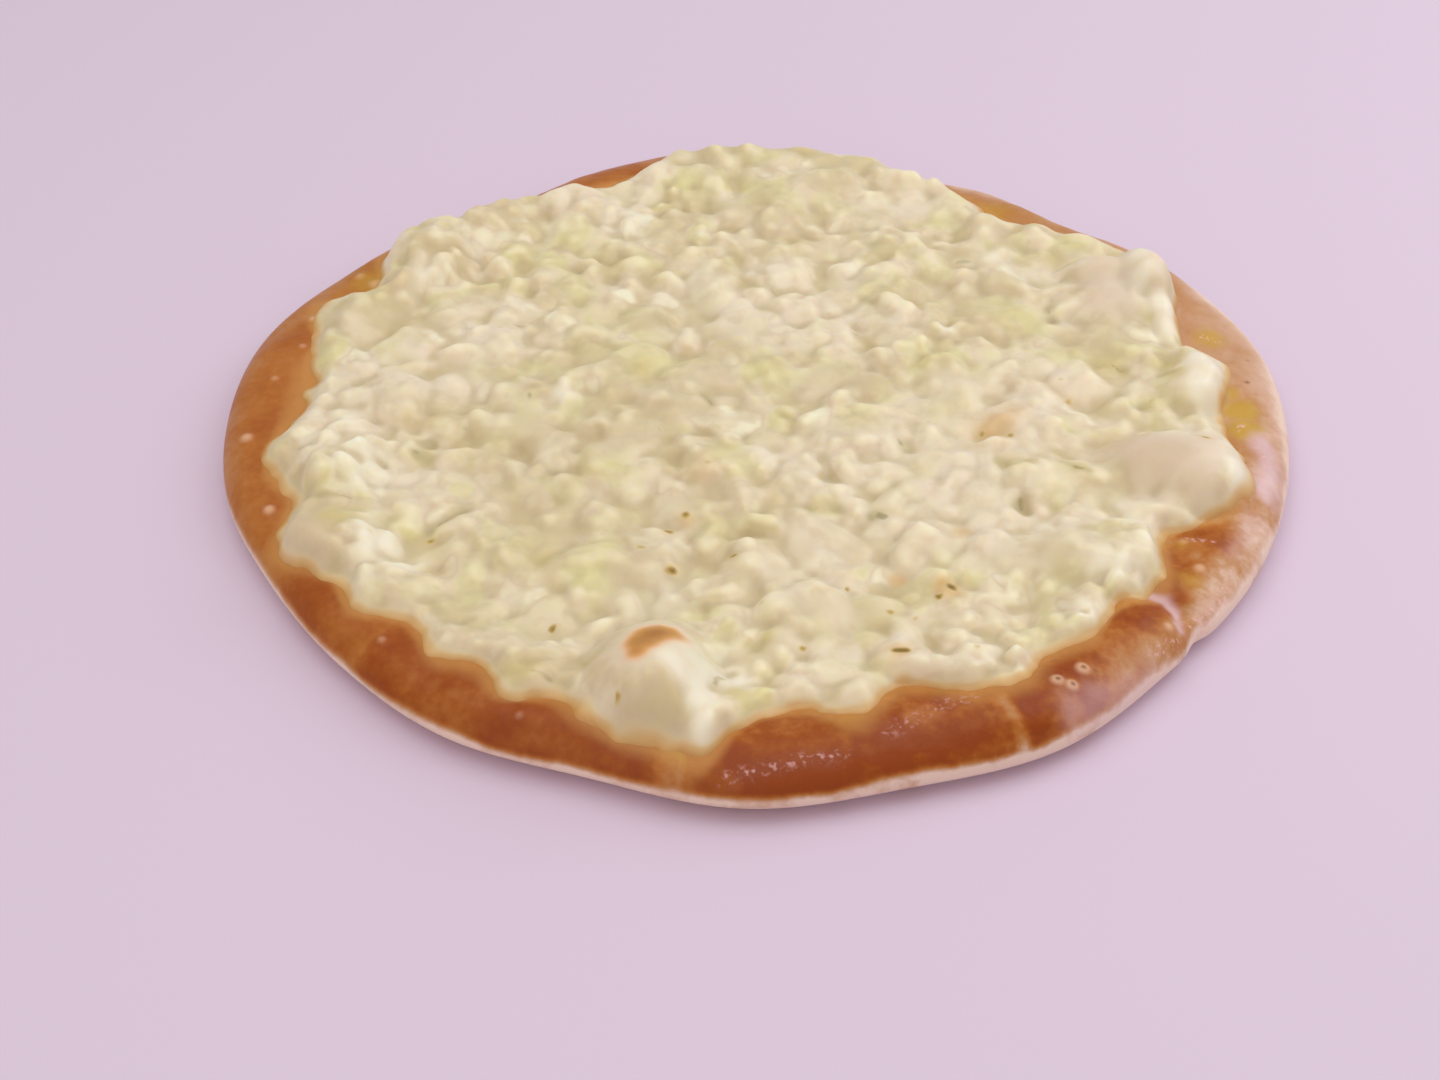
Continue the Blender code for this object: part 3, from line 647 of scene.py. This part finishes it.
def make_maps():
    """All the maps that the two meshes read."""
    bearing, radius = polar(map_x, map_y)
    plain = map_x, map_y
    bent = strayed(*plain, BEND, BEND_WIDE, 15)
    rough = strayed(*plain, ROUGH, ROUGH_WIDE, 17)
    bare = bubble_rise(*plain)[1]
    ragged = (waves(*EDGE_WAVES) + waves(*EDGE_TEETH)) * (1 - EDGE_LOST * bare)
    inward = cheese_edge(bearing) + ragged - radius
    maps = {"bare": bare, "film": np.clip(1 - inward / FILM, 0, 1)}

    # the dough: broad unevenness, pores and blisters
    on_top = smoothstep((outer_edge(bearing) - radius) / DOUGH_RUN)
    blister = spots_map(BLISTERS, *plain)
    maps["dough"] = (waves(*DOUGH_WAVES) * (1 - bare) + waves(*DOUGH_PORES) + blister) * on_top
    maps["blister"] = np.clip(blister, 0, 1)

    # the relief of the cheese over it
    lumps, lump_tone = lumps_map(list(LUMPS) + other_lumps(), 61)
    flakes, flake_tone = packed_map(scatter(*FLAKES), FLAKE_BULGE, 63)
    crumbs, crumb_tone = packed_map(scatter(*CRUMBS), CRUMB_BULGE, 65)
    swells = lumps_map(scatter(*SWELLS), 67)[0]
    knobs = lumps_map(scatter(*KNOBS), 69, BEND / 3)[0]
    groove, maps["pit"] = hollow_maps(*bent)
    cluster = smoothstep(CLUSTER_FULL * spots_map(CLUSTERS, *rough))
    melted = smoothstep(patchy(*MELTED)) * (1 - cluster)
    heap = heap_up(lumps, flakes, crumbs, knobs, cluster, melted) - CUT * groove
    cover = SKIN * smoothstep(inward / LIP_RUN) ** LIP_FULL + np.clip(inward, -DIP_OUT, 0) * DIP_FALL
    relief = (heap + swells) * (1 - bare) ** BARE_FALL
    relief += (BARE_FLAKES * blur(flakes, SOFT["bare"]) + waves(*BARE_WAVES)) * bare
    relief *= smoothstep(inward / LUMP_RUN * (1 + CLUSTER_NEAR * cluster))
    maps["cheese"] = cover + blur(relief, SOFT["relief"]) + lines_map(RIDGES, *rough)

    # the colours that follow the relief: painted shade in the valleys and hollows, a painted highlight on
    # the crowns
    soft, level = blur(heap, SOFT["colours"]), blur(heap, SOFT["level"])
    maps["valley_shade"] = np.clip((level - soft) / VALLEY_DEEP, 0, 1) * (1 - VALLEY_LOST * bare)
    maps["crown_highlight"] = np.clip((soft - level) / CROWN_HIGH, 0, 1)
    deep = np.clip(blur(groove, SOFT["colours"]) / HOLLOW_DEEP, 0, 1)
    maps["groove"] = deep * smoothstep(inward / HOLLOW_RUN)
    tones = zip(TONE_SHARES, (lump_tone, flake_tone, crumb_tone))
    tone = sum(share * random_tone for share, random_tone in tones)
    maps["tone"] = blur(tone, SOFT["colours"])

    # the colours that the tables place, among them painted shade, painted highlights and a painted
    # reflection
    for name, spots, places in (("tan", TANS, rough), ("olive", OLIVES, bent), ("white", WHITES_AND_HIGHLIGHTS, bent),
                                ("shade", SHADES, plain), ("gold", GOLDS, rough), ("dot", DOTS, plain)):
        maps[name] = spots_map(spots, *places)
    maps["painted_glint"] = lines_map(PAINTED_GLINTS, *plain)
    maps["gloss_and_painted_reflection"] = lines_map(GLOSS_AND_REFLECTIONS, *rough)
    maps["speck"] = np.maximum(spots_map(SPECKS, *rough), lines_map(SPLITS, *plain))
    maps["crescent"] = blur(lines_map(CRESCENT, *plain), SOFT["crescent"])
    return maps


def ring_grid(rings, reach_of):
    """A disc of even triangles: x, y, triangles, border anticlockwise."""
    share = [0.0]
    bearing = [0.0]
    triangles = []
    for ring in range(1, rings + 1):
        start, last = len(share), len(share) - max(6 * (ring - 1), 1)
        share += [ring / rings] * (6 * ring)
        bearing += [60 * step / ring for step in range(6 * ring)]
        for side in range(6):
            for step in range(ring):
                outer = side * ring + step
                inner = side * (ring - 1) + step
                a, b = start + outer, start + (outer + 1) % (6 * ring)
                c = last + inner % max(6 * (ring - 1), 1)
                triangles.append((a, b, c))
                if step < ring - 1:
                    d = last + (inner + 1) % (6 * (ring - 1))
                    triangles.append((b, d, c))
    share, bearing = np.array(share), np.array(bearing)
    reach = EVEN_REACH + (reach_of(bearing) - EVEN_REACH) * share ** RAGGED
    x, y = from_polar(bearing, share * reach)
    return x, y, triangles, list(range(len(share) - 6 * rings, len(share)))


def join_loops(lower, upper):
    """Triangles between two closed loops that start at one bearing and are evenly spaced."""
    triangles = []
    i = j = 0
    while i < len(lower) or j < len(upper):
        a, b = lower[i % len(lower)], upper[j % len(upper)]
        if (i + 1) * len(upper) <= (j + 1) * len(lower):
            i += 1
            triangles.append((a, lower[i % len(lower)], b))
        else:
            j += 1
            triangles.append((a, upper[j % len(upper)], b))
    return triangles


def middle_of_edge():
    """The middle of the box round the outer edge, which is the origin."""
    bearing = np.arange(0, 360, 0.5)
    x, y = from_polar(bearing, outer_edge(bearing))
    return (x.min() + x.max()) / 2, (y.min() + y.max()) / 2


def add_piece(name, points, faces, marks, material, node):
    """A smooth mesh with named values at its points, standing for a CAD node."""
    mid_x, mid_y = middle_of_edge()
    places = (points - np.array([mid_x, mid_y, 0])) * MM
    mesh = bpy.data.meshes.new(name)
    mesh.from_pydata(places.tolist(), [], [tuple(map(int, face)) for face in faces])
    for mark, values in marks.items():
        mesh.attributes.new(mark, "FLOAT", "POINT").data.foreach_set("value", values.astype(np.float32))
    mesh.validate()
    mesh.shade_smooth()
    mesh.materials.append(material)
    piece = bpy.data.objects.new(name, mesh)
    bpy.context.scene.collection.objects.link(piece)
    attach(piece, "root")
    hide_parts(node)


def dough_top(maps, x, y):
    return bread_top(x, y) + read(maps["dough"], x, y)


def make_cheese(maps, material):
    """The melted cheese: a finely lumped top, closed by a plain underside on the dough."""
    def reach_of(bearing):
        return cheese_edge(bearing) + CHEESE_OVER

    x, y, triangles, border = ring_grid(CHEESE_RINGS, reach_of)
    top = dough_top(maps, x, y) + read(maps["cheese"], x, y)
    low_x, low_y, low_triangles, low_border = ring_grid(UNDER_RINGS, reach_of)
    low = bread_top(low_x, low_y) - CHEESE_SUNK
    start = len(x)
    faces = triangles + [tuple(start + corner for corner in reversed(face)) for face in low_triangles]
    faces += join_loops([start + corner for corner in low_border], border)
    all_x, all_y = np.concatenate([x, low_x]), np.concatenate([y, low_y])
    points = np.column_stack([all_x, all_y, np.concatenate([top, low])])
    marks = {name: read(maps[name], all_x, all_y) for name in CHEESE_MARKS}
    add_piece("melted_cheese", points, faces, marks, material, "cheese")


def make_bread(maps, material):
    """The baked dough: rings from under the cheese out over the rim and under to the flat bottom."""
    bearing = np.arange(CRUST_POINTS) * 360 / CRUST_POINTS
    edge = outer_edge(bearing)
    inner = cheese_edge(bearing) - CHEESE_UNDER
    x, y, faces, border = ring_grid(UNDER_RINGS, lambda at: cheese_edge(at) - CHEESE_UNDER)
    points = [np.column_stack([x, y, dough_top(maps, x, y)])]
    last = border
    rows = []
    for step in range(CRUST_STEPS + 1):
        share = math.sin(step / CRUST_STEPS * math.pi / 2)
        rows.append((inner + (edge - inner) * share, True))
    for step in range(1, HEEL_STEPS + 1):
        rows.append((edge - HEEL * (step / HEEL_STEPS) ** 2, False))
    count = len(x)
    for radius, on_top in rows:
        ring_x, ring_y = from_polar(bearing, radius)
        if on_top:
            height = dough_top(maps, ring_x, ring_y)
        else:
            height = bread_bottom(edge - radius)
        points.append(np.column_stack([ring_x, ring_y, height]))
        ring = list(range(count, count + CRUST_POINTS))
        count += CRUST_POINTS
        if len(last) < CRUST_POINTS:
            faces += join_loops(ring, last)
        else:
            faces += list(zip(last, ring, ring[1:] + ring[:1], last[1:] + last[:1]))
        last = ring
    faces.append(tuple(reversed(last)))
    points = np.concatenate(points)
    marks = crust_marks(maps, *points.T)
    add_piece("baked_bread", points, faces, marks, material, "bread")


def crust_marks(maps, x, y, z):
    """How brown the crust is at each point, how near the cheese, and what lies on it, painted highlights
    too.
    """
    bearing, radius = polar(x, y)
    inward = outer_edge(bearing) - radius
    wave = read(grain(WAVY, 61), x, y)
    face = around(OUTER_BROWN, bearing)
    top = around(INNER_BROWN, bearing)
    brown = face + (top - face) * smoothstep((inward - FACE_IN - wave) / FACE_RUN)
    foot = around(PALE, bearing) + PALE_WAVE * wave
    brown *= smoothstep((z - foot) / PALE_RUN)
    for at, width, strength in STREAKS:
        streak = strength * np.exp(-((bearing - at) / width) ** 2)
        brown *= 1 - streak * smoothstep((STREAK_IN - inward) / STREAK_RUN)
    marks = {name: read(maps[name], x, y) * (z > WAIST) for name in RIM_MARKS}
    marks["brown"] = np.clip(brown, 0, 1)
    band = np.clip(BAND + BAND_WAVE * wave, *BAND_RANGE)
    marks["near_cheese"] = np.clip(1 - (radius - cheese_edge(bearing)) / band, 0, 1)
    marks["blotchy"] = around(BLOTCHY, bearing)
    return marks


# the crust's colours, from unbaked to the most browned: share, red, green and blue, 0 to 255
CRUST_BROWNS = (
    (0.00, (240, 212, 196)),
    (0.20, (218, 178, 154)),
    (0.42, (194, 138, 88)),
    (0.62, (182, 109, 42)),
    (0.82, (161, 80, 12)),
    (1.00, (148, 64, 4)),
)

# over it, in this order: a map, where it starts and where it is full, share, colour
CRUST_TINTS = (
    # paler blisters, their colour partly a painted highlight
    ("blister", 0.2, 0.9, 0.7, (240, 196, 162)),
    ("gold", 0.1, 0.9, 0.9, (204, 162, 62)),
    ("dot", 0.2, 0.8, 0.85, (132, 76, 34)),
    # a lilac-pink painted reflection; the same map gives the rim its oily gloss
    ("gloss_and_painted_reflection", 0.0, 1.0, 0.8, (228, 192, 200)),
)

# the curds, by their random tones: tone, colour
CHEESE_TONES = (
    (0.20, (226, 216, 163)),
    (0.38, (235, 225, 186)),
    (0.50, (236, 222, 193)),
    (0.62, (228, 212, 183)),
    (0.80, (250, 242, 216)),
)

# over them, in this order: a map, where it starts and where it is full, share, colour
CHEESE_TINTS = (
    # a painted highlight on the tops of the lumps
    ("crown_highlight", 0.1, 0.9, 0.5, (250, 240, 212)),
    ("bare", 0.3, 0.9, 0.6, (238, 221, 206)),
    # painted shade, with faint toasting, on the bubbles' sides
    ("shade", 0.05, 0.95, 0.6, (214, 188, 156)),
    # mostly a painted highlight, partly whiter thin cheese
    ("white", 0.05, 0.9, 0.85, (250, 242, 224)),
    # painted shade in the valleys between the curds
    ("valley_shade", 0.05, 0.8, 0.55, (206, 186, 138)),
    ("olive", 0.05, 0.95, 0.65, (212, 196, 132)),
    ("tan", 0.05, 0.95, 0.7, (222, 182, 118)),
    # painted shade in the hollows, darkest at the bottoms of the deeper ones
    ("groove", 0.05, 0.9, 0.5, (192, 174, 124)),
    ("pit", 0.15, 0.8, 0.6, (154, 140, 80)),
)

# browned parts over those: a map, where it starts and where it is full, colours
CHEESE_BROWNS = (
    ("film", 0.1, 0.6, ((0.0, (236, 220, 186)), (0.4, (231, 206, 160)), (0.75, (220, 176, 114)),
                        (1.0, (206, 148, 80)))),
    ("speck", 0.1, 0.5, ((0.0, (232, 212, 160)), (0.4, (210, 182, 112)), (0.7, (160, 130, 58)),
                         (1.0, (122, 88, 36)))),
    ("crescent", 0.02, 0.45, ((0.0, (244, 212, 180)), (0.28, (236, 186, 134)), (0.56, (208, 150, 78)),
                              (1.0, (176, 118, 48)))),
)

# the maps that each mesh takes up
RIM_MARKS = ["painted_glint"] + [row[0] for row in CRUST_TINTS]
CHEESE_MARKS = ["tone"] + [row[0] for row in CHEESE_TINTS + CHEESE_BROWNS]

# soft square lights: name, place, size, power, and red, green and blue, 0 to 1
LIGHTS = (
    ("window", (0.85, 0.3, 0.75), 0.9, 4.4, (0.96, 0.97, 1.0)),
    ("ceiling", (-0.1, 0.1, 1.3), 1.4, 5.9, (1.0, 0.98, 0.96)),
    ("fill", (-0.5, -1.0, 0.7), 1.4, 3.0, (1.0, 0.96, 0.9)),
)


def srgb(red, green, blue):
    """A colour as seen on a screen, 0 to 255, as the shader wants it."""
    return tuple(((c / 255 + 0.055) / 1.055) ** 2.4 for c in (red, green, blue)) + (1.0,)


class Shader:
    """A material's nodes, made one at a time and joined by name."""

    def __init__(self, name):
        self.material = bpy.data.materials.new(name)
        self.material.use_nodes = True
        self.tree = self.material.node_tree
        self.surface = self.tree.nodes["Principled BSDF"]

    def join(self, socket, value):
        """Give a socket a value or another node's output."""
        if isinstance(value, bpy.types.NodeSocket):
            self.tree.links.new(value, socket)
        else:
            socket.default_value = value

    def fill(self, node, inputs):
        """Fill inputs by name, with an underline for each space."""
        for key, value in inputs.items():
            self.join(node.inputs[key.replace("_", " ")], value)

    def dress(self, **inputs):
        self.fill(self.surface, inputs)

    def add(self, kind, settings=None, **inputs):
        made = self.tree.nodes.new(kind)
        for key, value in (settings or {}).items():
            setattr(made, key, value)
        self.fill(made, inputs)
        return made

    def mark(self, name):
        return self.add("ShaderNodeAttribute", {"attribute_name": name}).outputs["Fac"]

    def noise(self, size, detail, roughness=0.5):
        """Noise with bumps about this many millimetres wide, from 0 to 1."""
        place = self.add("ShaderNodeTexCoord").outputs["Object"]
        made = self.add("ShaderNodeTexNoise", Vector=place, Scale=1 / (size * MM), Detail=detail,
                        Roughness=roughness)
        return made.outputs["Fac"]

    def math(self, operation, first, second, clamp=False):
        made = self.add("ShaderNodeMath", {"operation": operation, "use_clamp": clamp})
        self.join(made.inputs[0], first)
        self.join(made.inputs[1], second)
        return made.outputs[0]

    def span(self, value, low, high, new_low=0.0, new_high=1.0):
        """Carry one range onto another, softly at both ends."""
        made = self.add("ShaderNodeMapRange", {"interpolation_type": "SMOOTHSTEP"}, Value=value,
                        From_Min=low, From_Max=high, To_Min=new_low, To_Max=new_high)
        return made.outputs["Result"]

    def ramp(self, value, stops):
        """A smooth scale of colours: (place, colour) pairs."""
        made = self.add("ShaderNodeValToRGB", Fac=value)
        scale = made.color_ramp
        while len(scale.elements) < len(stops):
            scale.elements.new(0.5)
        for element, (place, colour) in zip(scale.elements, stops):
            element.position = place
            element.color = srgb(*colour)
        return made.outputs["Color"]

    def mix(self, share, first, second):
        made = self.add("ShaderNodeMix", {"data_type": "RGBA"}, Factor=share)
        self.join(made.inputs[6], first)
        self.join(made.inputs[7], second)
        return made.outputs[2]

    def tint(self, colour, value, low, high, share, over):
        """Lay a colour over another, from none at the low value up to its share at the high."""
        return self.mix(self.span(value, low, high, 0.0, share), colour, srgb(*over))

    def bump(self, height, distance, strength, **over):
        return self.add("ShaderNodeBump", Height=height, Distance=distance, Strength=strength,
                        **over).outputs["Normal"]


def crust_material():
    """Baked dough: blotchy browning under an oily gloss, with painted glints and a painted reflection."""
    shader = Shader("browned_crust")
    brown = shader.mark("brown")
    mottle = shader.noise(14, detail=4.0)
    fine = shader.noise(2.6, detail=3.0)
    pores = shader.noise(0.9, detail=2.0)
    uneven = shader.math("ADD", shader.span(mottle, 0.32, 0.68, -0.12, 0.12),
                         shader.span(fine, 0.3, 0.7, -0.05, 0.05))
    uneven = shader.math("MULTIPLY", uneven, shader.mark("blotchy"))
    colour = shader.ramp(shader.math("ADD", brown, uneven, clamp=True), CRUST_BROWNS)
    golden = shader.math("MULTIPLY", shader.span(shader.mark("near_cheese"), 0.0, 1.0, 0.0, 0.6),
                         shader.span(brown, 0.3, 0.6))
    colour = shader.mix(golden, colour, srgb(211, 155, 86))
    for name, low, high, share, over in CRUST_TINTS:
        colour = shader.tint(colour, shader.mark(name), low, high, share, over)
    # painted highlights: glints broken up by fine noise
    grains = shader.noise(1.3, detail=1.0)
    painted_glint = shader.math("MULTIPLY", shader.mark("painted_glint"), shader.span(grains, 0.44, 0.72))
    colour = shader.tint(colour, painted_glint, 0.0, 0.8, 0.7, (240, 190, 184))
    coarse = shader.bump(fine, 0.5 * MM, 0.4)
    normal = shader.bump(pores, 0.15 * MM, 0.5, Normal=coarse)
    shader.dress(Base_Color=colour, Roughness=shader.span(brown, 0.0, 0.5, 0.6, 0.42),
                 Coat_Weight=shader.span(shader.mark("gloss_and_painted_reflection"), 0.1, 0.9, 0.06, 0.4),
                 Coat_Roughness=0.16, Specular_IOR_Level=0.25, Subsurface_Weight=0.15,
                 Subsurface_Radius=(1.0, 0.5, 0.25), Subsurface_Scale=0.003,
                 Normal=normal, Coat_Normal=normal)
    return shader.material


def cheese_material():
    """Melted cheese: mottled curds, browned at the edge and in spots, with painted shade and highlights."""
    shader = Shader("melted_cheese")
    mottle = shader.noise(16, detail=3.0, roughness=0.55)
    broad = shader.noise(45, detail=2.0)
    patches = shader.noise(7, detail=3.0)
    fine = shader.noise(1.1, detail=3.0)
    colour = shader.ramp(shader.mark("tone"), CHEESE_TONES)
    colour = shader.tint(colour, mottle, 0.44, 0.62, 0.8, (216, 200, 158))
    colour = shader.tint(colour, broad, 0.50, 0.64, 0.65, (240, 226, 206))
    colour = shader.mix(shader.span(broad, 0.36, 0.50, 0.55, 0.0), colour, srgb(214, 196, 160))
    colour = shader.tint(colour, patches, 0.50, 0.68, 0.4, (214, 194, 160))
    for name, low, high, share, over in CHEESE_TINTS:
        colour = shader.tint(colour, shader.mark(name), low, high, share, over)
    for name, low, high, browns in CHEESE_BROWNS:
        mark = shader.mark(name)
        colour = shader.mix(shader.span(mark, low, high), colour, shader.ramp(mark, browns))
    coarse = shader.bump(patches, 0.4 * MM, 0.3)
    normal = shader.bump(fine, 0.12 * MM, 0.4, Normal=coarse)
    shader.dress(Base_Color=colour, Roughness=shader.span(patches, 0.3, 0.7, 0.4, 0.6),
                 Coat_Weight=0.12, Coat_Roughness=0.25,
                 Subsurface_Weight=shader.span(shader.mark("film"), 0.4, 1.0, 1.0, 0.2),
                 Subsurface_Radius=(1.0, 0.8, 0.5), Subsurface_Scale=0.004, Normal=normal)
    return shader.material


def add_floor():
    bpy.ops.mesh.primitive_plane_add(size=20)
    floor = bpy.context.object
    floor.name = "floor"
    shader = Shader("pale_floor")
    shader.dress(Base_Color=srgb(224, 206, 228), Roughness=0.7)
    floor.data.materials.append(shader.material)


def add_lights():
    """Soft square lights that face the bread, and the light of the room."""
    for name, place, size, power, colour in LIGHTS:
        light = bpy.data.lights.new(name, "AREA")
        light.size = size
        light.energy = power
        light.color = colour
        lamp = bpy.data.objects.new(name, light)
        lamp.location = place
        lamp.rotation_euler = (-Vector(place)).to_track_quat("-Z", "Y").to_euler()
        bpy.context.scene.collection.objects.link(lamp)
    world = bpy.data.worlds.new("room")
    world.use_nodes = True
    background = world.node_tree.nodes["Background"]
    background.inputs["Color"].default_value = (1.0, 0.95, 0.89, 1.0)
    background.inputs["Strength"].default_value = 0.47
    bpy.context.scene.world = world
    bpy.context.scene.view_settings.view_transform = "Standard"


# the photograph's camera
VIEW_WIDE = 36.0    # degrees across the picture
VIEW_DOWN = 40.58   # degrees below the horizon
VIEW_FAR = 615.0    # from the point it looks at
VIEW_AT = (-10.9, -44.7)


def add_camera():
    camera = bpy.data.objects.new("camera", bpy.data.cameras.new("camera"))
    camera.data.angle = math.radians(VIEW_WIDE)
    down = math.radians(VIEW_DOWN)
    x, y = VIEW_AT
    camera.location = (x * MM, (y - VIEW_FAR * math.cos(down)) * MM, VIEW_FAR * math.sin(down) * MM)
    camera.rotation_euler = (math.pi / 2 - down, 0, 0)
    bpy.context.scene.collection.objects.link(camera)
    bpy.context.scene.camera = camera


maps = make_maps()
make_bread(maps, crust_material())
make_cheese(maps, cheese_material())
add_floor()
add_lights()
add_camera()
